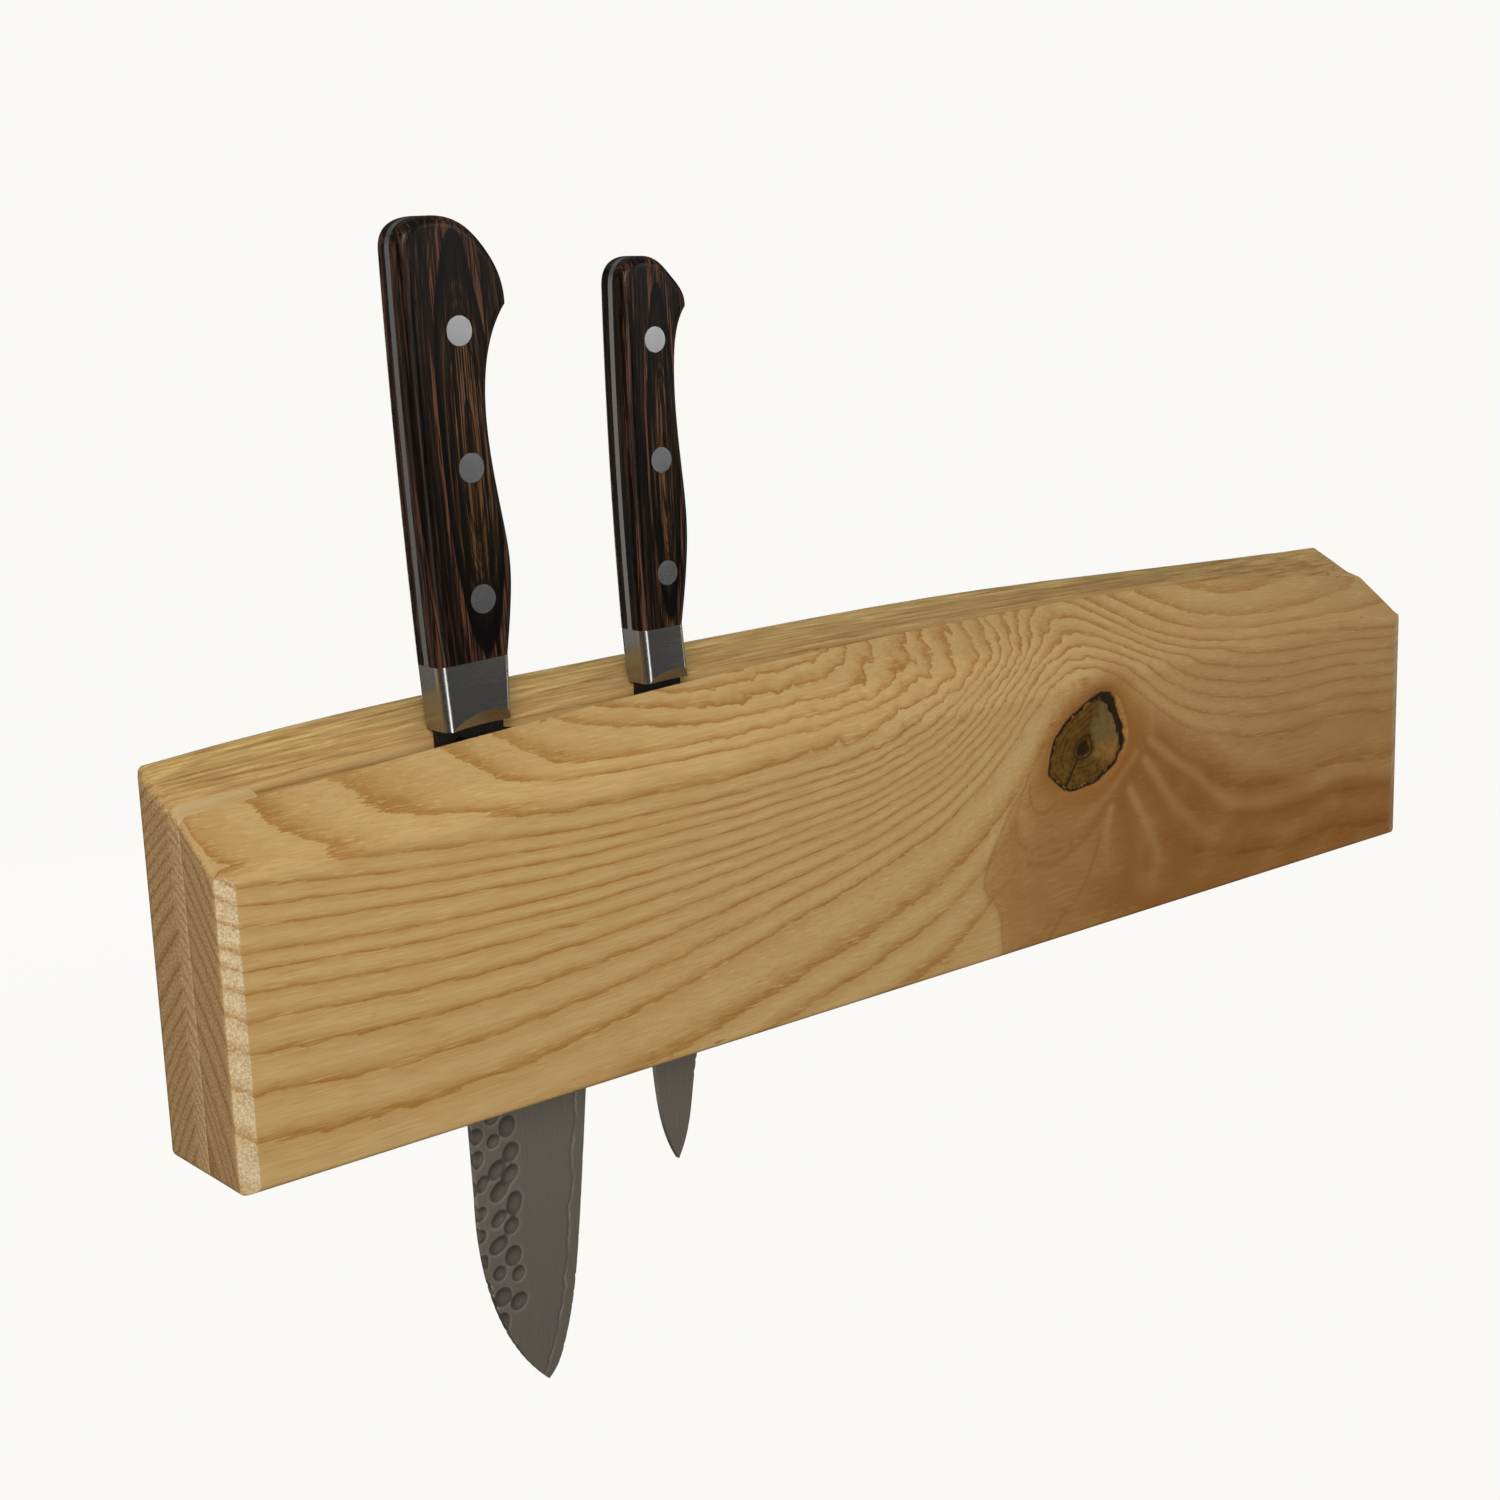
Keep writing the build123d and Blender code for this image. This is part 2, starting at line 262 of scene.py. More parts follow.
def board_mesh(node, x, y, z):
    """A board or spacer: a box with eased edges, its top brought to the CAD node's crown."""
    low, high = (np.array(corner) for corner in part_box(node))
    high[2] = board_bottom + nominal_height
    points, quads = box_lattice(x, y, z)
    points = round_edges(points, low, high, slot_radius)
    outer_low = np.array((rack_low.x, rack_low.y, board_bottom))
    outer_high = np.array((rack_high.x, rack_high.y, board_bottom + nominal_height))
    points = round_edges(points, outer_low, outer_high, outer_radius)
    points = plane_corners(round_ends(points, outer_low, outer_high))
    share = (points[:, 2] - board_bottom) / nominal_height
    points[:, 2] = board_bottom + share * (Top(node).heights(points) - board_bottom)
    return new_mesh(node + "_wood", points, quads)


def board_grid(node, step, *zones):
    """Grid lines over a board, closer together over its eased edges and in the given x zones.

    Returns x and y lines, and the heights between which the z lines are close together.
    """
    low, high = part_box(node)
    left_end = (low.x, low.x + end_reach, fine_step)
    right_end = (high.x - end_reach, high.x, fine_step)
    x = grid_lines(low.x, high.x, step, left_end, right_end, *zones)
    front_edge = (low.y, low.y + edge_reach, fine_step)
    back_edge = (high.y - edge_reach, high.y, fine_step)
    y = grid_lines(low.y, high.y, depth_step, front_edge, back_edge)
    top = board_bottom + nominal_height
    return x, y, (board_bottom, board_bottom + edge_reach, top - right_crown_radius, top)


def make_front_board():
    """The front board, with a close grid where its figure and its sunk knot need it."""
    knot_x = rack_low.x + pith_x
    x, y, (z0, z1, z2, z3) = board_grid(
        "front_board",
        1.9 * mm,
        (rack_low.x + figured_from, rack_low.x + figured_to, figure_step),
        (knot_x - knot_reach, knot_x + knot_reach, knot_step),
    )
    stretch = nominal_height / front_face_height
    knot_low = board_bottom + (pith_z - knot_half_height) * stretch
    knot_high = board_bottom + (pith_z + knot_half_height) * stretch
    close = ((z0, z1, fine_step), (knot_low, knot_high, knot_rise_step), (z2, z3, fine_step))
    z = grid_lines(z0, z3, 1.7 * mm, *close)
    board = board_mesh("front_board", x, y, z)
    sink_knot(board)
    return board


def make_plain_board(node, step):
    """A board or spacer with an even grid."""
    x, y, (z0, z1, z2, z3) = board_grid(node, step)
    z = grid_lines(z0, z3, rise_step, (z0, z1, fine_step), (z2, z3, fine_step))
    return board_mesh(node, x, y, z)


# Sizes of the openings in the rear board; the centres are heights above the origin.
magnet_diameter = 20 * mm
magnet_pitch = 34 * mm
magnet_count = 11
magnet_pocket = 5.2 * mm
hanger_spacing = 300 * mm
hanger_size = (18 * mm, 50 * mm)
hanger_centre = 4.25 * mm
hanger_seat = 2 * mm
relief_size = (13 * mm, 24 * mm)
relief_centre = 5.5 * mm
relief_depth = 8 * mm


def prism(centre, size, front, back):
    """Vertices and faces of an upright round-ended prism from one y to another."""
    x, z = centre
    width, height = size
    radius = width / 2
    rise = height / 2 - radius
    sides = 48
    vertices = []
    for y in (front, back):
        for i in range(sides):
            turn = 2 * pi * (i + 0.5) / sides
            shift = rise if i < sides / 2 else -rise
            vertices.append((x + radius * cos(turn), y, z + shift + radius * sin(turn)))
    faces = [list(range(sides)), list(range(2 * sides - 1, sides - 1, -1))]
    for i in range(sides):
        j = (i + 1) % sides
        faces.append([i, i + sides, j + sides, j])
    return vertices, faces


def cut_out(piece, prisms):
    """Take prisms that don't touch each other out of a piece."""
    vertices = []
    faces = []
    for more_vertices, more_faces in prisms:
        start = len(vertices)
        vertices += more_vertices
        faces += [[start + i for i in face] for face in more_faces]
    cutter = new_mesh("cutter", vertices, faces)
    cut = piece.modifiers.new("cut", "BOOLEAN")
    cut.operation = "DIFFERENCE"
    cut.solver = "EXACT"
    cut.object = cutter
    evaluated = piece.evaluated_get(bpy.context.evaluated_depsgraph_get())
    result = bpy.data.meshes.new_from_object(evaluated)
    piece.modifiers.clear()
    piece.data = result
    bpy.data.objects.remove(cutter)
    result.shade_smooth()
    result.set_sharp_from_angle(angle=radians(sharp_angle))


def make_rear_board():
    """The rear board, with pockets for the magnets, and a seat and a relief for each hanger."""
    board = make_plain_board("rear_board", 2.4 * mm)
    wall = rack_high.y
    margin = mm
    openings = []
    for i in range(magnet_count):
        x = (i - (magnet_count - 1) / 2) * magnet_pitch
        size = (magnet_diameter, magnet_diameter)
        openings.append(prism((x, 0), size, slot_rear_y - margin, slot_rear_y + magnet_pocket))
    reliefs = []
    for x in (-hanger_spacing / 2, hanger_spacing / 2):
        openings.append(prism((x, hanger_centre), hanger_size, wall - hanger_seat, wall + margin))
        reliefs.append(prism((x, relief_centre), relief_size, wall - relief_depth, wall + margin))
    cut_out(board, openings)
    cut_out(board, reliefs)
    return board


# ---- knives: shape ----

# Where each knife's blade and bolster meet at the spine, in mm, and its lean in degrees.
knife_places = {
    "santoku": ((-152.4, -16.8, 36.6), 2.0),
    "petty": ((-89.4, -16.7, 39.1), 0.9),
}
dent_rows = 22
dent_start = 6  # mm from the joint to the first row
dent_pitch = 7.3  # mm, along the blade
dent_columns = (2.2, 7.3, 12.3)  # mm from the spine, at dent_level
dent_level = -75  # mm from the joint, along the blade
dent_lean = 0.05  # the columns draw in to the spine towards the tip
dent_radius = (2.0, 3.0)
dent_depth = (0.22, 0.36)
blade_rows, blade_columns = 250, 61  # of grid points on each face
rim = 1.2  # mm, from a blade's edge and spine, over which the marks fade out


def dents(across, along, seed):
    """Hammer marks on one face of a blade: their depth in mm, and how near their middles."""
    random = np.random.default_rng(seed)
    depths = np.zeros(across.shape)
    nearness = np.zeros(across.shape)
    for row in range(dent_rows):
        for column, column_place in enumerate(dent_columns):
            middle_along = -dent_start - dent_pitch * (row + (column % 2) / 2)
            middle_along += random.uniform(-1.0, 1.0)
            middle_across = column_place + dent_lean * (middle_along - dent_level)
            middle_across += random.uniform(-0.9, 0.9)
            radius = random.uniform(*dent_radius)
            depth = random.uniform(*dent_depth)
            stretch, turn = random.uniform(0, 0.22), random.uniform(0, pi)
            from_across, from_along = across - middle_across, along - middle_along
            direction = np.arctan2(from_along, from_across)
            edge = radius * (1 + stretch * np.cos(2 * direction - turn))
            distance = np.hypot(from_across, from_along) / edge
            bowl = np.clip(1 - distance**2, 0, 1) ** 0.8
            depths = np.maximum(depths, depth * bowl)
            nearness = np.maximum(nearness, np.clip(1.4 - distance, 0, 1.4))
    return depths, nearness


def make_blade(knife, hammered):
    """A blade as a close grid on the faces of its CAD node, with hammer marks on both faces."""
    node = f"{knife}_blade"
    tree = cad_tree(node)
    low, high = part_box(node)
    middle = (low.y + high.y) / 2
    inset = 0.005 * mm
    heights = np.linspace(low.z + 10 * inset, high.z - inset, blade_rows)
    shares = np.linspace(0, 1, blade_columns)
    grid = np.zeros((2, len(heights), len(shares), 3))
    from_edge = np.zeros(grid.shape[:3])
    from_spine = np.zeros(grid.shape[:3])
    for i, z in enumerate(heights):
        left = tree.ray_cast(Vector((low.x - 1, middle, z)), Vector((1, 0, 0)))[0].x + inset
        right = tree.ray_cast(Vector((high.x + 1, middle, z)), Vector((-1, 0, 0)))[0].x - inset
        for j, x in enumerate(left + shares * (right - left)):
            grid[0, i, j] = tree.ray_cast(Vector((x, -1, z)), Vector((0, 1, 0)))[0]
            grid[1, i, j] = tree.ray_cast(Vector((x, 1, z)), Vector((0, -1, 0)))[0]
            from_edge[:, i, j] = (right - x) / mm
            from_spine[:, i, j] = (x - left) / mm
    grid[:, 0, :, 2] = low.z
    grid[:, -1, :, 2] = high.z
    (joint_x, _, joint_z), lean = knife_places[knife]
    run, rise = grid[..., 0] / mm - joint_x, grid[..., 2] / mm - joint_z
    across = run * cos(radians(lean)) + rise * sin(radians(lean))
    along = rise * cos(radians(lean)) - run * sin(radians(lean))
    nearness = np.zeros(across.shape)
    if hammered:
        inside = np.minimum(1, np.minimum(from_edge, from_spine) / rim)
        for side, inwards in ((0, 1), (1, -1)):
            depths, nearness[side] = dents(across[side], along[side], seed=7 + side)
            grid[side, ..., 1] += inwards * depths * inside[side] * mm

    number = np.arange(grid.size // 3).reshape(grid.shape[:3])
    front, back = number
    quads = []
    for face, is_front in ((front, True), (back, False)):
        corners = [face[:-1, :-1], face[:-1, 1:], face[1:, 1:], face[1:, :-1]]
        quads.append(np.stack(corners if is_front else corners[::-1], axis=-1).reshape(-1, 4))
    for front_line, back_line in (
        (front[:, -1], back[:, -1]),
        (front[::-1, 0], back[::-1, 0]),
        (front[0, :], back[0, :]),
        (front[-1, ::-1], back[-1, ::-1]),
    ):
        strip = [front_line[:-1], back_line[:-1], back_line[1:], front_line[1:]]
        quads.append(np.stack(strip, axis=-1))
    blade = new_mesh(node + "_steel", grid.reshape(-1, 3), np.concatenate(quads), sharp_over=35)
    store(blade, "blade", np.stack([across, along, from_edge], axis=-1).reshape(-1, 3))
    store(blade, "dent", nearness.ravel())
    return blade


# ---- node trees ----


def rgba(value):
    """A colour with its alpha; anything else is left as it is."""
    return (*value, 1) if isinstance(value, tuple) and len(value) == 3 else value


class Graph:
    """The node tree of one material, with a short call for each kind of node."""

    def __init__(self, name):
        self.material = bpy.data.materials.new(name)
        self.material.use_nodes = True
        self.tree = self.material.node_tree
        self.tree.nodes.clear()

    def node(self, kind, inputs, **settings):
        """A node of a kind; each input is a value, or a socket to link it to."""
        made = self.tree.nodes.new("ShaderNode" + kind)
        for name, value in settings.items():
            setattr(made, name, value)
        for key, value in inputs.items():
            if isinstance(value, bpy.types.NodeSocket):
                self.tree.links.new(value, made.inputs[key])
            else:
                made.inputs[key].default_value = value
        return made

    def math(self, operation, *values):
        return self.node("Math", dict(enumerate(values)), operation=operation).outputs[0]

    def add(self, a, b):
        return self.math("ADD", a, b)

    def multiply(self, a, b):
        return self.math("MULTIPLY", a, b)

    def multiply_add(self, value, factor, offset):
        return self.math("MULTIPLY_ADD", value, factor, offset)

    def stored(self, name, output="Fac"):
        return self.node("Attribute", {}, attribute_name=name).outputs[output]

    def place(self):
        return self.node("TexCoord", {}).outputs["Object"]

    def stretched(self, vector, scale, rotation=(0, 0, 0), location=(0, 0, 0)):
        inputs = {"Vector": vector, "Scale": scale, "Rotation": rotation, "Location": location}
        return self.node("Mapping", inputs).outputs[0]

    def parts(self, vector):
        return self.node("SeparateXYZ", {0: vector}).outputs

    def noise(self, vector, scale=1.0, detail=3, roughness=0.5):
        inputs = {"Vector": vector, "Scale": scale, "Detail": detail, "Roughness": roughness}
        return self.node("TexNoise", inputs).outputs["Fac"]

    def streaks(self, vector, scale, location=(0, 0, 0), detail=3, roughness=0.5):
        """Noise with its own scale along each axis."""
        return self.noise(self.stretched(vector, scale, location=location), 1.0, detail, roughness)

    def steps(self, value, low, high, from_value=0.0, to_value=1.0):
        """Smooth step from one value to another, as the input goes from low to high."""
        limits = {"From Min": low, "From Max": high, "To Min": from_value, "To Max": to_value}
        made = self.node("MapRange", {"Value": value, **limits}, interpolation_type="SMOOTHSTEP")
        return made.outputs[0]

    def ramp(self, value, *stops):
        made = self.node("ValToRGB", {0: value})
        elements = made.color_ramp.elements
        while len(elements) < len(stops):
            elements.new(0.5)
        for element, (position, colour) in zip(elements, stops):
            element.position = position
            element.color = rgba(colour)
        return made.outputs[0]

    def mix(self, factor, a, b, blend="MIX"):
        inputs = {0: factor, 6: rgba(a), 7: rgba(b)}
        return self.node("Mix", inputs, data_type="RGBA", blend_type=blend).outputs[2]

    def bump(self, height, distance, strength=1.0):
        inputs = {"Height": height, "Distance": distance, "Strength": strength}
        return self.node("Bump", inputs).outputs[0]

    def finish(self, **inputs):
        """Close the tree with a Principled shader; underscores in its socket names are spaces."""
        named = {key.replace("_", " "): rgba(value) for key, value in inputs.items()}
        shader = self.node("BsdfPrincipled", named)
        self.node("OutputMaterial", {0: shader.outputs[0]})
        return self.material


# ---- wood ----


def eased(x, points, width=9):
    """Straight runs between (x, value) points, rounded off over a width where they meet."""
    stations, values = np.array(points).T
    offsets = np.linspace(-1, 1, 9)
    weights = 1 - 0.8 * offsets**2
    total = sum(w * np.interp(x + width * o, stations, values) for o, w in zip(offsets, weights))
    return total / weights.sum()


def soft_step(value, width):
    """From 0 to 1 as a value goes from well below zero to well above it."""
    return 1 / (1 + np.exp(-value / width))


def bell(value, middle, width):
    """1 where a value is at the middle, falling to 0 over about twice the width."""
    return np.exp(-(((value - middle) / width) ** 2))


def board_places(piece):
    """Places in mm: from the left end, behind the front face, above the underside."""
    return ((positions(piece) - (rack_low.x, rack_low.y, board_bottom)) / mm).T


def knot_share(x, z):
    """Distance from the knot's pith as a share of the way to its bark, and the angle there."""
    across, up = x - pith_x / mm, z - pith_z / mm
    angle = np.arctan2(up, across)
    corner_x, corner_z = np.array(knot_outline).T
    corner_angles = np.arctan2(corner_z, corner_x)
    corner_radii = np.hypot(corner_x, corner_z)
    turns = np.linspace(-0.2, 0.2, 7)
    barks = [np.interp(angle + t, corner_angles, corner_radii, period=2 * pi) for t in turns]
    return np.hypot(across, up) / np.mean(barks, axis=0), angle


def sink_knot(board):
    """Shrink the knot back in its hole, and open a gap along its bark and a drying check."""
    points = positions(board)
    x, depth, z = board_places(board)
    share, angle = knot_share(x, z)
    sunk = np.clip((1.05 - share) / 0.15, 0, 1)
    uneven = 0.55 + 0.45 * np.cos(angle - 0.5) + 0.2 * np.sin(5 * angle)
    gap = bell(share, 1.0, 0.09) * uneven
    check = bell(share, 0.55, 0.5) * bell(angle, check_angle, 0.05)
    hollow = 0.25 * sunk + 0.9 * gap + 0.5 * bell(share, 0, 0.2) + 0.3 * check
    points[:, 1] += np.where(depth < sunk_skin, np.maximum(hollow, 0), 0) * mm
    board.data.vertices.foreach_set("co", points.ravel())
    board.data.update()


# Growth rings of the front board, in mm from its left end, front face and underside.
# The rings climb along the rack and over the knot: by this much at a low and at a high ring.
low_ring, high_ring = 11.5, 79.0
low_climb = (
    (0, 0.3), (50, -2), (75, -0.5), (100, 3), (125, 7), (150, 12.5), (200, 24.5), (230, 34), (250, 46),
    (270, 64), (284, 70), (297, 68), (310, 61), (320, 54), (333, 46), (345, 41), (368, 36), (392, 34.3),
    (414, 36.5), (435, 33.5), (450, 32),
)
high_climb = (
    (0, 0.3), (50, -4), (100, -7.5), (150, -8), (200, -6), (230, 1), (255, 14), (275, 26), (290, 30),
    (305, 27), (325, 20), (345, 15.5), (370, 12.5), (400, 11), (450, 8),
)
pith_depth, pith_height = 121.0, -43.0  # of the whole tree's pith, behind and below the board
mean_radius = 150  # of the rings, about
knot_depth = 6  # mm behind the face; deeper down, a place counts as far from the knot
far_from_knot = 9
stain_depth = 9  # mm behind the face, where the heartwood and the marks have faded out
ring_radii = (
    118, 121.9, 124.2, 126.7, 132.8, 138.1, 143.3, 147.8, 151.7, 155.1, 157.7,
    161.5, 164.5, 166.9, 169.3, 172.2, 176.1, 178.3, 181.2, 182.4, 183.5, 184.2,
)
outer_ring_width = 3.4
# The rings leave the front face at this height, and follow the bevel over about so much.
face_height = 79.0
turning = 6.0
flattening = 0.27  # of the rings' depth behind the face, right of this place:
flat_from = 95

# Marks round the knot on the front face: the half width of each, and (x, z) places along it.
pale_marks = (
    (1.5, (
        (318, 56), (330, 47), (340, 41), (350, 33), (360, 27), (372, 25), (400, 25.5),
        (413, 28.5), (430, 25),
    )),
    (1.7, ((316, 50), (322, 43), (330, 33), (340, 24.5), (350, 17))),
    (1.5, ((309, 42), (315, 32), (320, 24), (323, 18), (319, 8))),
    (1.2, ((313, 53), (300, 42), (288, 35.5), (276, 33))),
    (1.4, ((301, 38), (298, 28), (299, 20))),
    (2.8, ((261, 43), (263, 38), (267, 34.5))),
    (1.3, ((277, 46), (288, 44.5), (299, 45))),
    (1.0, ((320, 76), (320, 66), (319, 58))),
    (1.6, ((245, 34), (242, 25), (246, 12), (249, 4))),
)
dark_marks = (
    (0.45, ((264.5, 52), (264.5, 46), (267, 41.5), (271, 40.3), (277, 44))),
    (0.5, ((265, 55), (259.5, 45), (258.3, 38), (260.5, 32.5), (266, 30.5), (276, 32), (287, 37))),
    (0.4, ((262, 31), (268, 28), (278, 28), (288, 31), (298, 38))),
    (0.9, ((263, 27), (275, 24), (288, 29), (296, 35))),
    (0.6, ((262, 50), (256, 44), (248, 32), (244.5, 24), (247, 20), (252, 15), (252.5, 8), (253, 0))),
    (0.6, ((272, 0), (277, 6), (286, 12), (292, 20), (296, 30))),
    (3.5, ((307, 50), (306, 38), (310, 24), (309, 8))),
    (4.0, ((318, 42), (326, 30), (334, 14), (338, 0))),
    (2.5, ((322, 57), (334, 46), (342, 36), (352, 27))),
    (2.2, ((362, 21), (385, 18.5), (402, 20), (412, 24), (420, 24.5), (434, 20), (450, 14))),
    (2.6, ((284, 70.5), (290, 74.5), (298, 75.5), (304, 70))),
)
# Upper and left limits of the heartwood, as (x, z) and (z, x).
heartwood_top = (
    (0, 20), (240, 30), (262, 52), (275, 64), (305, 71), (320, 66), (340, 55), (360, 43),
    (385, 35), (420, 30), (450, 23),
)
heartwood_left = (
    (0, 253), (8, 252.5), (15, 251.5), (20, 247), (24, 244.5), (32, 248), (44, 256),
    (50, 262), (65, 272),
)


def ring_level(x, z):
    """Height at the left end of the ring that passes through a place on the front face."""
    low, high = eased(x, low_climb), eased(x, high_climb)
    level = z.copy()
    for _ in range(14):  # the climb depends on the level itself, so this settles by steps
        share = np.clip((high_ring - level) / (high_ring - low_ring), 0, 1) ** 1.3
        level = 0.3 * level + 0.7 * (z - high - (low - high) * share)
    return level


def front_board_rings(x, depth, z):
    """Ring number and radius at each place in the front board."""
    level = ring_level(x, z)
    above = z - face_height
    turned = turning * np.logaddexp(0, above / turning) - np.maximum(above, 0)
    deeper = depth * (1 - flattening * soft_step(x - flat_from, 10))
    radius = np.hypot(pith_depth - turned - deeper, level - pith_height)
    number = np.interp(radius, ring_radii, np.arange(len(ring_radii)))
    number += np.maximum(radius - ring_radii[-1], 0) / outer_ring_width
    return number, radius


def marks(x, z, lines, fade=0.0):
    """How strongly any of some curved marks shows at each place, from 0 to 1.

    Along its line a mark loses the share fade of its strength, and widens by as much.
    """
    shown = np.zeros(len(x))
    for half_width, route in lines:
        route_x, route_z = np.array(route, float).T
        legs = np.hypot(np.diff(route_x), np.diff(route_z))
        walked = np.concatenate([[0], np.cumsum(legs)])
        samples = np.linspace(0, walked[-1], 70)
        line_x = eased(samples, np.stack([walked, route_x], axis=1), width=4)
        line_z = eased(samples, np.stack([walked, route_z], axis=1), width=4)
        for a, b, walk in zip(line_x, line_z, samples / walked[-1]):
            distance = np.hypot(x - a, z - b) / (half_width * (1 + fade * walk))
            shown = np.maximum(shown, (1 - fade * walk) * np.exp(-(distance**2)))
    return shown


def front_board_grain(piece):
    """Store what the front board's material reads at each place of it."""
    x, depth, z = board_places(piece)
    number, radius = front_board_rings(x, depth, z)
    store(piece, "ring", number)
    # places along the fibre, across the rings and round them
    around = np.arctan2(z - pith_height, pith_depth - depth) * mean_radius
    store(piece, "fibre", np.stack([x, radius, around], axis=1))
    share, angle = knot_share(x, z)
    store(piece, "knot", np.where(depth < knot_depth, share, far_from_knot))
    store(piece, "knot_angle", angle)
    # the rings curl on the bevel left of the knot, and are broad on all of the bevel
    curly = soft_step(x - 150, 12) * soft_step(292 - x, 8) * soft_step(z - 64 - 0.12 * (292 - x), 6)
    store(piece, "curl", curly)
    store(piece, "broad", soft_step(z - 80, 2.5))
    # red heartwood under its top line and right of its left one, and a tinge of it at the right
    near_face = np.clip(1 - depth / stain_depth, 0, 1)
    red = soft_step(eased(x, heartwood_top, 6) - z, 3) * soft_step(x - eased(z, heartwood_left, 2), 1.2)
    heart = red * (0.60 + 0.34 * soft_step(x - 292, 9))
    tinge = 0.28 * soft_step(x - 305, 10) + 0.3 * soft_step(x - 350, 8) * soft_step(52 - z, 6)
    heart = np.maximum(heart, tinge)
    store(piece, "heart", heart * near_face)
    store(piece, "pale", marks(x, z, pale_marks, fade=0.75) * near_face)
    store(piece, "dark", marks(x, z, dark_marks) * near_face)
    # the ring lines are faint in the heartwood and towards the right end
    faint = 0.4 * soft_step(x - 335, 12)
    store(piece, "clear", (1 - 0.9 * red * soft_step(352 - x, 6)) * (1 - faint))


# In a plain board the rings sway by so many mm, and their number runs ahead and falls behind.
sway_height, sway_length = 2.5, 75
year_change, year_length = 0.8, 7
plain_radius = 100  # of the rings, about


def plain_grain(piece, pith, ring_width, climb=0.0):
    """Grain of a plain board: rings of uneven width round a pith at (depth, height).

    They climb and sway a little along the board.
    """
    x, depth, z = board_places(piece)
    sway = sway_height * np.sin(x / sway_length)
    radius = np.hypot(depth - pith[0], z - pith[1] - climb * x - sway)
    uneven_years = year_change * np.sin(radius / year_length)
    store(piece, "ring", radius / ring_width + uneven_years)
    around = np.arctan2(z - pith[1], depth - pith[0]) * plain_radius
    store(piece, "fibre", np.stack([x, radius, around], axis=1))


def shades(colour, *factors):
    """A colour with each of its parts times a factor."""
    return tuple(c * f for c, f in zip(colour, factors))


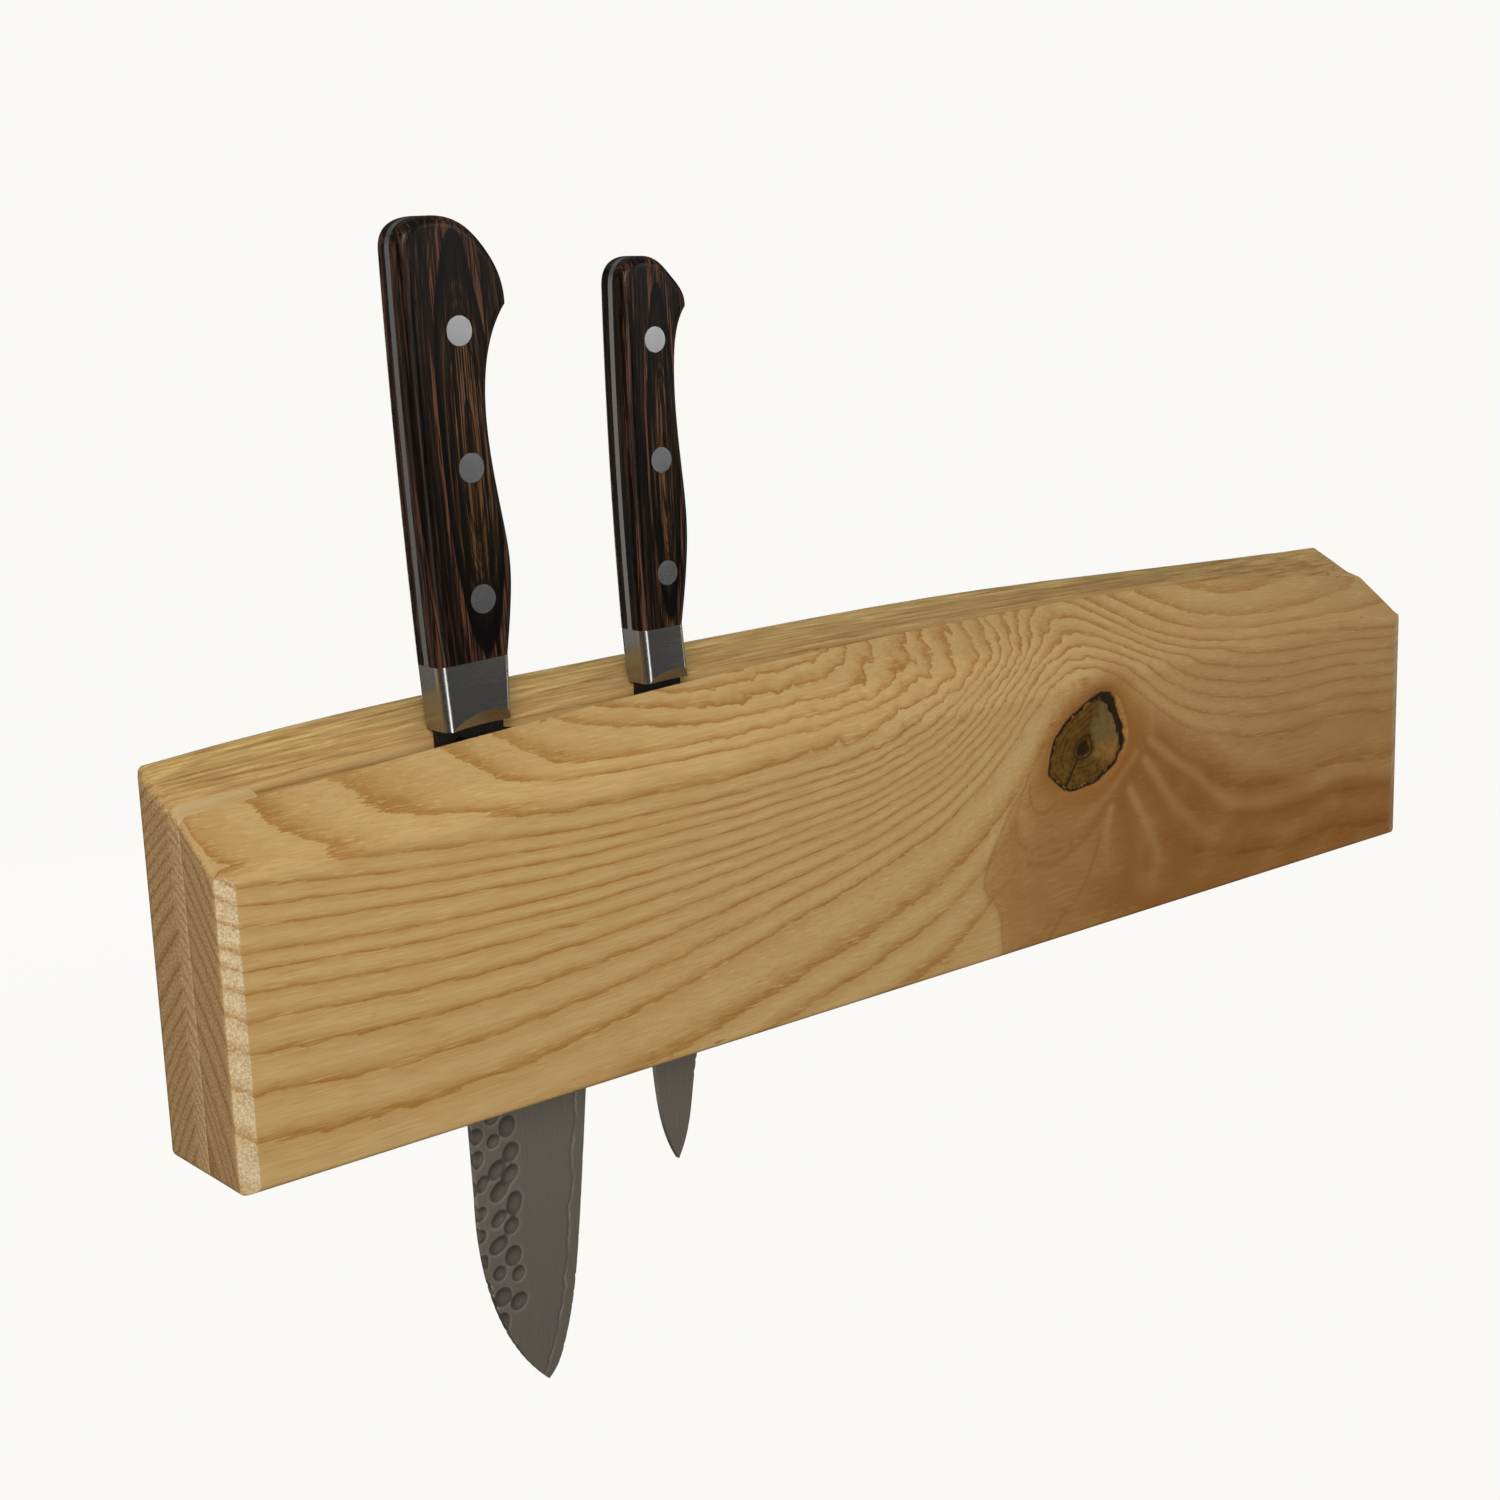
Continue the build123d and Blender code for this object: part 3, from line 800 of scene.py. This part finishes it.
def ash(name, light=(0.50, 0.342, 0.148), knotty=False, sawn=0.0):
    """Oiled ash. Each ring starts with a sharp line of open pores and pales outwards.

    A knotty board has heartwood and a knot. A sawn one has rough, patchy fibres on its top,
    which hide the rings by that much.
    """
    g = Graph(name)
    line = shades(light, 0.64, 0.45, 0.24)
    middle = shades(light, 0.88, 0.81, 0.72)
    fibre = g.stored("fibre", "Vector")
    wander = g.streaks(fibre, (0.10, 0.25, 0.25))
    ragged = g.streaks(fibre, (0.13, 2.0, 2.0), roughness=0.6)
    number = g.add(g.stored("ring"), g.multiply_add(wander, 0.30, -0.15))
    number = g.add(number, g.multiply_add(ragged, 0.20, -0.10))
    if knotty:
        curl = g.streaks(fibre, (0.17, 0.17, 0.17), detail=2)
        number = g.add(number, g.multiply(g.stored("curl"), g.multiply_add(curl, 1.6, -0.8)))
    season = g.math("FRACT", number)
    if knotty:
        season = g.multiply(season, g.multiply_add(g.stored("broad"), -0.45, 1.0))
    rings = g.ramp(
        season,
        (0.0, line),
        (0.06, line),
        (0.22, middle),
        (0.42, light),
        (0.66, light),
        (0.95, middle),
    )
    clear = g.stored("clear") if knotty else 1.0
    patchy = g.streaks(fibre, (0.05, 0.1, 0.1), detail=2)
    dashes = g.streaks(fibre, (0.09, 1.5, 1.5), location=(7, 3, 5), roughness=0.65)
    line_strength = g.multiply(clear, g.steps(patchy, 0.25, 0.6, 0.55, 1.0))
    line_strength = g.multiply(line_strength, g.steps(dashes, 0.3, 0.6, 0.6, 1.0))
    wood = g.mix(line_strength, middle, rings)

    # fibres, a few darker long streaks, and open pores as short dashes
    long_streaks = g.streaks(fibre, (0.018, 0.8, 0.8), detail=4, roughness=0.7)
    fibres = g.streaks(fibre, (0.09, 1.9, 1.9), roughness=0.65)
    wood = g.mix(g.steps(long_streaks, 0.5, 0.8, 0.0, 0.45), wood, shades(light, 0.80, 0.68, 0.52))
    wood = g.mix(g.steps(fibres, 0.5, 0.75, 0.0, 0.7), wood, shades(light, 1.14, 1.17, 1.22))
    wood = g.mix(g.steps(fibres, 0.28, 0.46, 0.45, 0.0), wood, shades(light, 0.74, 0.64, 0.50))
    pores = g.streaks(fibre, (0.11, 2.6, 2.6), detail=2)
    early = g.steps(season, 0.0, 0.45, 1.0, 0.35)
    pore_mask = g.multiply(g.steps(pores, 0.58, 0.70), early)
    wood = g.mix(g.multiply(pore_mask, 0.5), wood, shades(light, 0.55, 0.42, 0.30))
    flecks = g.streaks(fibre, (0.10, 0.8, 0.8), location=(3, 9, 1), detail=2)
    wood = g.mix(g.steps(flecks, 0.74, 0.80, 0.0, 0.7), wood, shades(light, 0.42, 0.28, 0.16))

    if knotty:
        wood = add_knot(g, wood, light, fibre)
    facing = g.parts(g.node("TexCoord", {}).outputs["Normal"])
    if sawn:
        torn_up = g.streaks(fibre, (0.05, 1.1, 1.1), detail=4, roughness=0.65)
        rough_wood = g.ramp(
            torn_up,
            (0.34, shades(light, 0.52, 0.42, 0.30)),
            (0.47, shades(light, 0.86, 0.82, 0.74)),
            (0.56, shades(light, 1.05, 1.06, 1.0)),
            (0.64, shades(light, 1.40, 1.46, 1.45)),
        )
        towards_wall = g.steps(g.parts(g.place())[1], -12 * mm, -4 * mm)
        tint = g.mix(towards_wall, (0.95, 0.88, 0.84), (1.06, 1.09, 1.03))
        rough_wood = g.mix(1.0, rough_wood, tint, "MULTIPLY")
        wood = g.mix(g.steps(facing[2], 0.5, 0.8, 0.0, sawn), wood, rough_wood)

    # end grain drinks more finish, so it is darker and greyer
    end_mask = g.steps(g.math("ABSOLUTE", facing[0]), 0.6, 0.9)
    dots = g.streaks(fibre, (0.5, 1.6, 1.6))
    grey = g.mix(g.steps(dots, 0.3, 0.7), (0.82, 0.77, 0.78), (1.34, 1.31, 1.48))
    wood = g.mix(end_mask, wood, g.mix(1.0, wood, grey, "MULTIPLY"))
    # the planed corners are painted paler: a painted highlight where the light catches the facets,
    # broken up by torn fibres
    corner = g.steps(g.math("ABSOLUTE", facing[0]), 0.24, 0.30)
    forward = g.steps(facing[1], -0.85, -0.80, 1.0, 0.0)
    planed_facet_highlight = g.multiply(g.multiply(corner, forward), g.math("SUBTRACT", 1.0, end_mask))
    torn = g.streaks(fibre, (2.0, 2.0, 1.2))
    facet_highlight_tint = g.mix(g.steps(torn, 0.35, 0.65), (1.00, 1.13, 1.50), (1.40, 1.68, 2.55))
    wood = g.mix(planed_facet_highlight, wood, g.mix(1.0, wood, facet_highlight_tint, "MULTIPLY"))
    height = g.add(g.multiply(pore_mask, -0.7), g.multiply(fibres, 0.5))
    rough = g.multiply_add(fibres, 0.22, 0.34)
    if knotty:
        rough = g.add(rough, g.steps(g.stored("knot"), 0.85, 1.15, 0.45, 0.0))
    return g.finish(
        Base_Color=wood,
        Roughness=rough,
        Specular_IOR_Level=0.14,
        Normal=g.bump(height, 0.06 * mm, 0.6),
    )


def add_knot(g, wood, light, fibre):
    """The heartwood, marks and knot of the front board, over its plain wood.

    Round the knot, share is the distance from its pith, and is 1 at its bark.
    """
    cloudy = g.streaks(fibre, (0.05, 0.08, 0.08))
    heart = g.multiply(g.stored("heart"), g.steps(cloudy, 0.2, 0.7, 0.75, 1.0))
    wood = g.mix(heart, wood, g.mix(1.0, wood, (0.52, 0.31, 0.125), "MULTIPLY"))
    wood = g.mix(g.multiply(g.stored("dark"), 0.62), wood, shades(light, 0.48, 0.30, 0.15))
    wood = g.mix(g.multiply(g.stored("pale"), 0.50), wood, shades(light, 0.86, 0.78, 0.72))

    # stained wood round the bark
    ragged = g.noise(g.place(), scale=260)
    share = g.add(g.stored("knot"), g.multiply_add(ragged, 0.16, -0.08))
    wood = g.mix(g.steps(share, 1.0, 1.75, 0.80, 0.0), wood, shades(light, 0.52, 0.32, 0.14))

    # the knot itself, cut across: its own fine rings, a pale patch to the right and a dark pith
    own_rings = g.math("FRACT", g.multiply(share, 7.0))
    core = g.mix(own_rings, (0.060, 0.026, 0.002), (0.112, 0.054, 0.008))
    mottled = g.noise(g.place(), scale=500)
    core = g.mix(g.steps(mottled, 0.40, 0.75, 0.0, 0.8), core, (0.140, 0.078, 0.016))
    angle = g.stored("knot_angle")
    rightwards = g.multiply(g.steps(angle, -0.75, -0.2), g.steps(angle, 0.75, 1.25, 1.0, 0.0))
    between = g.multiply(g.steps(share, 0.22, 0.40), g.steps(share, 0.86, 0.95, 1.0, 0.0))
    patch = g.multiply(rightwards, between)
    pale = g.mix(g.steps(angle, -0.1, 0.2), (0.240, 0.130, 0.032), (0.150, 0.100, 0.036))
    core = g.mix(g.multiply(patch, g.steps(mottled, 0.3, 0.6, 0.55, 0.95)), core, pale)
    core = g.mix(g.steps(share, 0.13, 0.19, 0.9, 0.0), core, (0.010, 0.005, 0.001))
    heart_hole = g.math("ABSOLUTE", g.add(share, -0.24))
    core = g.mix(g.steps(heart_hole, 0.015, 0.05, 0.7, 0.0), core, (0.012, 0.006, 0.001))
    check = g.steps(g.math("ABSOLUTE", g.add(angle, -check_angle)), 0.02, 0.09, 0.8, 0.0)
    core = g.mix(g.multiply(check, g.steps(share, 0.1, 0.3)), core, (0.010, 0.006, 0.002))
    # the bark is thickest at the upper right
    thick = g.steps(g.math("ABSOLUTE", g.add(angle, -0.55)), 0.25, 0.75, 0.80, 0.93)
    thick = g.add(thick, g.multiply_add(mottled, 0.20, -0.10))
    bark = g.steps(g.math("SUBTRACT", share, thick), 0.0, 0.04)
    bark = g.multiply(bark, g.steps(share, 1.00, 1.06, 1.0, 0.0))
    inside = g.steps(share, 0.92, 0.98, 1.0, 0.0)
    wood = g.mix(inside, wood, core)
    bark_colour = g.mix(mottled, (0.002, 0.001, 0.0003), (0.030, 0.015, 0.003))
    return g.mix(bark, wood, bark_colour)


# ---- steel and handles ----


def steel(name, colour=(0.45, 0.45, 0.44), roughness=0.3, brush=(1, 1, 60), down_facing_shade=1.0):
    """Steel with fine scratches, brush times as close together along each of the object's axes.

    Faces that look down are painted darker by the given factor, as painted shade.
    """
    g = Graph(name)
    scratches = g.streaks(g.place(), tuple(400 * b for b in brush))
    smudges = g.noise(g.place(), scale=60, detail=2)
    tone = g.mix(g.multiply(smudges, 0.35), colour, shades(colour, 0.7, 0.7, 0.7))
    # painted shade: faces that look down are darkened in colour
    up = g.parts(g.node("TexCoord", {}).outputs["Normal"])[2]
    tone = g.mix(g.steps(up, -0.55, -0.12, 1.0, 0.0), tone, shades(colour, down_facing_shade, down_facing_shade, down_facing_shade))
    rough = g.multiply_add(scratches, 0.06, roughness - 0.03)
    rough = g.add(rough, g.multiply_add(smudges, 0.1, -0.05))
    return g.finish(
        Base_Color=tone,
        Metallic=1.0,
        Roughness=rough,
        Normal=g.bump(scratches, 0.01 * mm, 0.02),
    )


def blade_finish(name, clad):
    """Dark satin steel, brushed along the blade. A clad blade shows a wavy seam by its edge."""
    g = Graph(name)
    own = g.stored("blade", "Vector")  # across, along and from the cutting edge, in mm
    brushed = g.streaks(own, (3.0, 0.05, 0))
    clouds = g.streaks(own, (0.22, 0.05, 0))
    colour = g.mix(g.steps(clouds, 0.35, 0.65), (0.47, 0.45, 0.37), (0.49, 0.43, 0.39))
    colour = g.mix(g.steps(brushed, 0.35, 0.7, 0.0, 0.45), colour, (0.30, 0.28, 0.24))
    dent = g.stored("dent")
    colour = g.mix(g.steps(dent, 0.0, 0.35, 0.0, 0.35), colour, (0.62, 0.58, 0.52))
    colour = g.mix(g.steps(dent, 0.36, 0.48, 0.0, 0.80), colour, (0.15, 0.135, 0.11))
    colour = g.mix(g.steps(dent, 0.60, 1.10, 0.0, 0.60), colour, (0.40, 0.37, 0.32))
    rough = g.multiply_add(brushed, 0.2, 0.38)
    if clad:
        from_edge = g.parts(own)[2]
        wave = g.streaks(own, (0, 0.11, 0), detail=4, roughness=0.6)
        past_seam = g.add(from_edge, g.multiply_add(wave, -5.0, -0.8))
        colour = g.mix(g.steps(past_seam, -0.3, 0.3, 0.55, 0.0), colour, (0.44, 0.43, 0.34))
        broken = g.streaks(own, (0, 0.16, 0), location=(0, 4, 0))
        faint = g.steps(broken, 0.38, 0.62, 0.1, 0.8)
        seam = g.multiply(g.steps(g.math("ABSOLUTE", past_seam), 0.15, 0.5, 1.0, 0.0), faint)
        colour = g.mix(seam, colour, (0.75, 0.70, 0.60))
        shadow = g.steps(g.math("ABSOLUTE", g.add(past_seam, -0.8)), 0.1, 0.5, 0.35, 0.0)
        colour = g.mix(shadow, colour, (0.16, 0.15, 0.13))
    # painted shade: the neck below the bolster and down in the slot is painted near black
    colour = g.mix(g.steps(g.parts(own)[1], -9.0, -6.5, 0.0, 0.93), colour, (0.008, 0.009, 0.009))
    return g.finish(
        Base_Color=colour,
        Metallic=1.0,
        Roughness=rough,
        Normal=g.bump(brushed, 0.01 * mm, 0.4),
    )


def laminate(knife, centre, spread):
    """Dark dyed veneers, glued up and shaped: their edges draw long nested loops.

    Their centre and spread are (across, along) the handle, in mm.
    """
    g = Graph(f"laminate_{knife}")
    (joint_x, joint_y, joint_z), lean = knife_places[knife]
    turn = radians(lean)
    origin = (
        -joint_x * cos(turn) - joint_z * sin(turn),
        -joint_y,
        joint_x * sin(turn) - joint_z * cos(turn),
    )
    own = g.stretched(g.place(), (1000, 1000, 1000), rotation=(0, turn, 0), location=origin)
    across, deep, along = g.parts(own)
    warp = g.streaks(own, (0.10, 0.1, 0.012), location=(*centre, 0), detail=2)
    across_share = g.multiply_add(across, 1 / spread[0], -centre[0] / spread[0])
    along_share = g.multiply_add(along, 1 / spread[1], -centre[1] / spread[1])
    square = g.add(g.multiply(across_share, across_share), g.multiply(along_share, along_share))
    loop = g.add(g.math("SQRT", square), g.multiply_add(warp, 0.5, -0.25))
    layer = g.add(g.multiply(loop, 9.0), g.multiply(deep, 0.15))
    sheet = g.node("CombineXYZ", {0: layer, 2: g.multiply(along, 0.004)}).outputs[0]
    veneers = g.noise(sheet, roughness=0.55)
    hairs = g.streaks(own, (1.9, 0.6, 0.022), roughness=0.7)
    pores = g.streaks(own, (2.6, 1.6, 0.06), detail=2, roughness=0.6)
    black = (0.002, 0.0014, 0.001)
    brown = (0.055, 0.025, 0.015)
    red_brown = (0.108, 0.046, 0.026)
    golden = (0.115, 0.060, 0.026)
    shifted = g.multiply_add(g.add(loop, g.multiply_add(veneers, 0.7, -0.35)), 0.4, 0.0)
    colour = g.ramp(
        shifted,
        (0.28, golden),
        (0.33, black),
        (0.37, black),
        (0.42, red_brown),
        (0.48, red_brown),
        (0.54, brown),
        (0.60, black),
        (0.68, brown),
        (0.84, red_brown),
        (1.0, brown),
    )
    colour = g.mix(g.steps(veneers, 0.42, 0.57, 0.85, 0.0), colour, black)
    colour = g.mix(g.steps(hairs, 0.46, 0.55, 0.92, 0.0), colour, black)
    pore_mask = g.steps(pores, 0.54, 0.60)
    colour = g.mix(g.multiply(pore_mask, 0.9), colour, (0.001, 0.0008, 0.0006))
    height = g.add(g.multiply(hairs, 0.5), g.multiply(pore_mask, -0.6))
    return g.finish(
        Base_Color=colour,
        Specular_IOR_Level=0.16,
        Roughness=g.multiply_add(hairs, 0.2, 0.22),
        Normal=g.bump(height, 0.03 * mm, 0.5),
    )


def dress(node, material):
    """Give a CAD node its material."""
    piece = frame["nodes"][node]
    piece.data.materials.clear()
    piece.data.materials.append(material)


def put_on(piece, node, material):
    """Put a new piece in the place of a CAD node, on its body and with its material."""
    piece.data.materials.append(material)
    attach(piece, frame["nodes"][node]["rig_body"])
    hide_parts(node)


front_board = make_front_board()
front_board_grain(front_board)
put_on(front_board, "front_board", ash("ash_front", knotty=True))

rear_board = make_rear_board()
plain_grain(rear_board, pith=(-75, -62), ring_width=3.6, climb=0.01)
put_on(rear_board, "rear_board", ash("ash_rear", sawn=0.7))

for side in ("left", "right"):
    node = f"end_spacer_{side}"
    spacer = make_plain_board(node, 1.2 * mm)
    plain_grain(spacer, pith=(90, -40), ring_width=2.5, climb=0.02)
    put_on(spacer, node, ash(f"ash_spacer_{side}", light=(0.60, 0.44, 0.21)))

# the bolster's faces that look down get painted shade, at half their brightness
bolster_steel = steel("bolster_steel", (0.40, 0.405, 0.405), 0.27, (0.2, 0.2, 4), down_facing_shade=0.5)
rivet_steel = steel("rivet_steel", (0.56, 0.58, 0.62), 0.24, (1, 1, 1))
hanger_steel = steel("hanger_steel", (0.5, 0.5, 0.48), 0.35)
magnet_plating = steel("magnet_plating", (0.6, 0.58, 0.54), 0.2, (1, 1, 1))

for knife, hammered, centre, spread in (
    ("santoku", True, (14.5, 70), (8.0, 52)),
    ("petty", False, (9.5, 62), (5.0, 46)),
):
    handle_wood = laminate(knife, centre, spread)
    dress(f"{knife}_front_scale", handle_wood)
    dress(f"{knife}_rear_scale", handle_wood)
    dress(f"{knife}_bolster_tang", bolster_steel)
    dress(f"{knife}_rivets", rivet_steel)
    blade = make_blade(knife, hammered)
    put_on(blade, f"{knife}_blade", blade_finish(f"{knife}_blade_steel", clad=hammered))
for node in ("hanger_plate_left", "hanger_plate_right", "hanger_screws"):
    dress(node, hanger_steel)
dress("magnets", magnet_plating)

# ---- studio ----

floor_drop = 0.25  # below the lowest point of the object
floor_radius = 3.0
cove_radius = 2.5


def make_floor():
    """A round pale floor that curves up all round into a wall."""
    level = cad_box[0].z - floor_drop
    profile = [(0.0, level), (floor_radius, level)]
    steps = 24
    for i in range(1, steps + 1):
        turn = pi / 2 * i / steps
        profile.append((floor_radius + cove_radius * sin(turn), level + cove_radius * (1 - cos(turn))))
    around = 96
    vertices = []
    for i in range(around):
        angle = 2 * pi * i / around
        vertices += [(r * cos(angle), r * sin(angle), z) for r, z in profile]
    rows = len(profile)
    faces = []
    for i in range(around):
        for j in range(rows - 1):
            near, far = i * rows, (i + 1) % around * rows
            faces.append((near + j, near + j + 1, far + j + 1, far + j))
    floor = new_mesh("studio_floor", vertices, faces)
    g = Graph("studio_paint")
    paint = g.finish(
        Base_Color=(0.02, 0.02, 0.0195),
        Roughness=0.9,
        Specular_IOR_Level=0.0,
        Emission_Color=(1.0, 0.992, 0.965),
        Emission_Strength=0.945,
    )
    floor.data.materials.append(paint)
    # The floor is seen, but the object is lit by the lamps and the sky alone.
    floor.visible_diffuse = False
    floor.visible_glossy = False
    floor.visible_shadow = False


def add_sky():
    """Dim grey all round, paler overhead."""
    world = bpy.data.worlds.new("studio_sky")
    world.use_nodes = True
    tree = world.node_tree
    direction = tree.nodes.new("ShaderNodeTexCoord").outputs["Generated"]
    parts = tree.nodes.new("ShaderNodeSeparateXYZ")
    ramp = tree.nodes.new("ShaderNodeValToRGB")
    ramp.color_ramp.elements[0].position = 0.2
    ramp.color_ramp.elements[0].color = (0.055, 0.053, 0.050, 1)
    ramp.color_ramp.elements[1].position = 1.0
    ramp.color_ramp.elements[1].color = (0.36, 0.355, 0.345, 1)
    tree.links.new(direction, parts.inputs[0])
    tree.links.new(parts.outputs[2], ramp.inputs[0])
    tree.links.new(ramp.outputs[0], tree.nodes["Background"].inputs[0])
    bpy.context.scene.world = world


def add_light(name, place, aim, size, power):
    """A soft, slightly warm panel that the camera doesn't see."""
    data = bpy.data.lights.new(name, "AREA")
    data.shape = "RECTANGLE"
    data.size, data.size_y = size
    data.energy = power
    data.color = (1.0, 0.96, 0.90)
    light = bpy.data.objects.new(name, data)
    light.location = place
    light.rotation_mode = "QUATERNION"
    light.rotation_quaternion = (Vector(aim) - Vector(place)).to_track_quat("-Z", "Y")
    light.visible_camera = False
    bpy.context.scene.collection.objects.link(light)


def add_camera():
    """The camera of the reference view: front left, a little above the rack, slightly rolled."""
    place = Vector((-0.45956, -0.51178, 0.16134))
    yaw, pitch, roll = 0.6901215, 0.2255156, -0.0345746
    forward = Vector((sin(yaw) * cos(pitch), cos(yaw) * cos(pitch), -sin(pitch)))
    right = Vector((cos(yaw), -sin(yaw), 0))
    up = right.cross(forward)
    right, up = right * cos(roll) + up * sin(roll), up * cos(roll) - right * sin(roll)
    data = bpy.data.cameras.new("camera")
    data.sensor_width = 36
    data.lens = 56.93
    data.clip_start = 0.01
    camera = bpy.data.objects.new("camera", data)
    turn = Matrix((right, up, -forward)).transposed()
    camera.matrix_world = Matrix.Translation(place) @ turn.to_4x4()
    bpy.context.scene.collection.objects.link(camera)
    bpy.context.scene.camera = camera


make_floor()
add_camera()
add_sky()
for light, place, aim, size, power in (
    ("strip_front", (-0.50, -1.4, -0.1), (-0.1, 0, 0.05), (0.25, 1.6), 6),
    ("strip_right", (1.5, -0.35, -0.1), (0, 0, 0.05), (0.16, 1.6), 2),
    ("panel_left", (-1.3, 0.9, -0.1), (-0.15, 0, 0.05), (0.9, 1.8), 3),
    ("key_left", (-0.74, -0.81, 0.60), (-0.1, 0, 0), (0.45, 0.45), 9),
    ("key_right", (0.80, -1.17, 0.48), (-0.15, 0, 0.05), (0.5, 0.70), 4),
    ("fill", (0.1, -1.4, 1.2), (0, 0, 0), (0.5, 0.5), 1),
    ("back_low", (0.5, 1.5, -0.15), (0, 0, 0), (1.2, 0.4), 5),
):
    add_light(light, place, aim, size, power)
bpy.context.scene.view_settings.view_transform = "Standard"
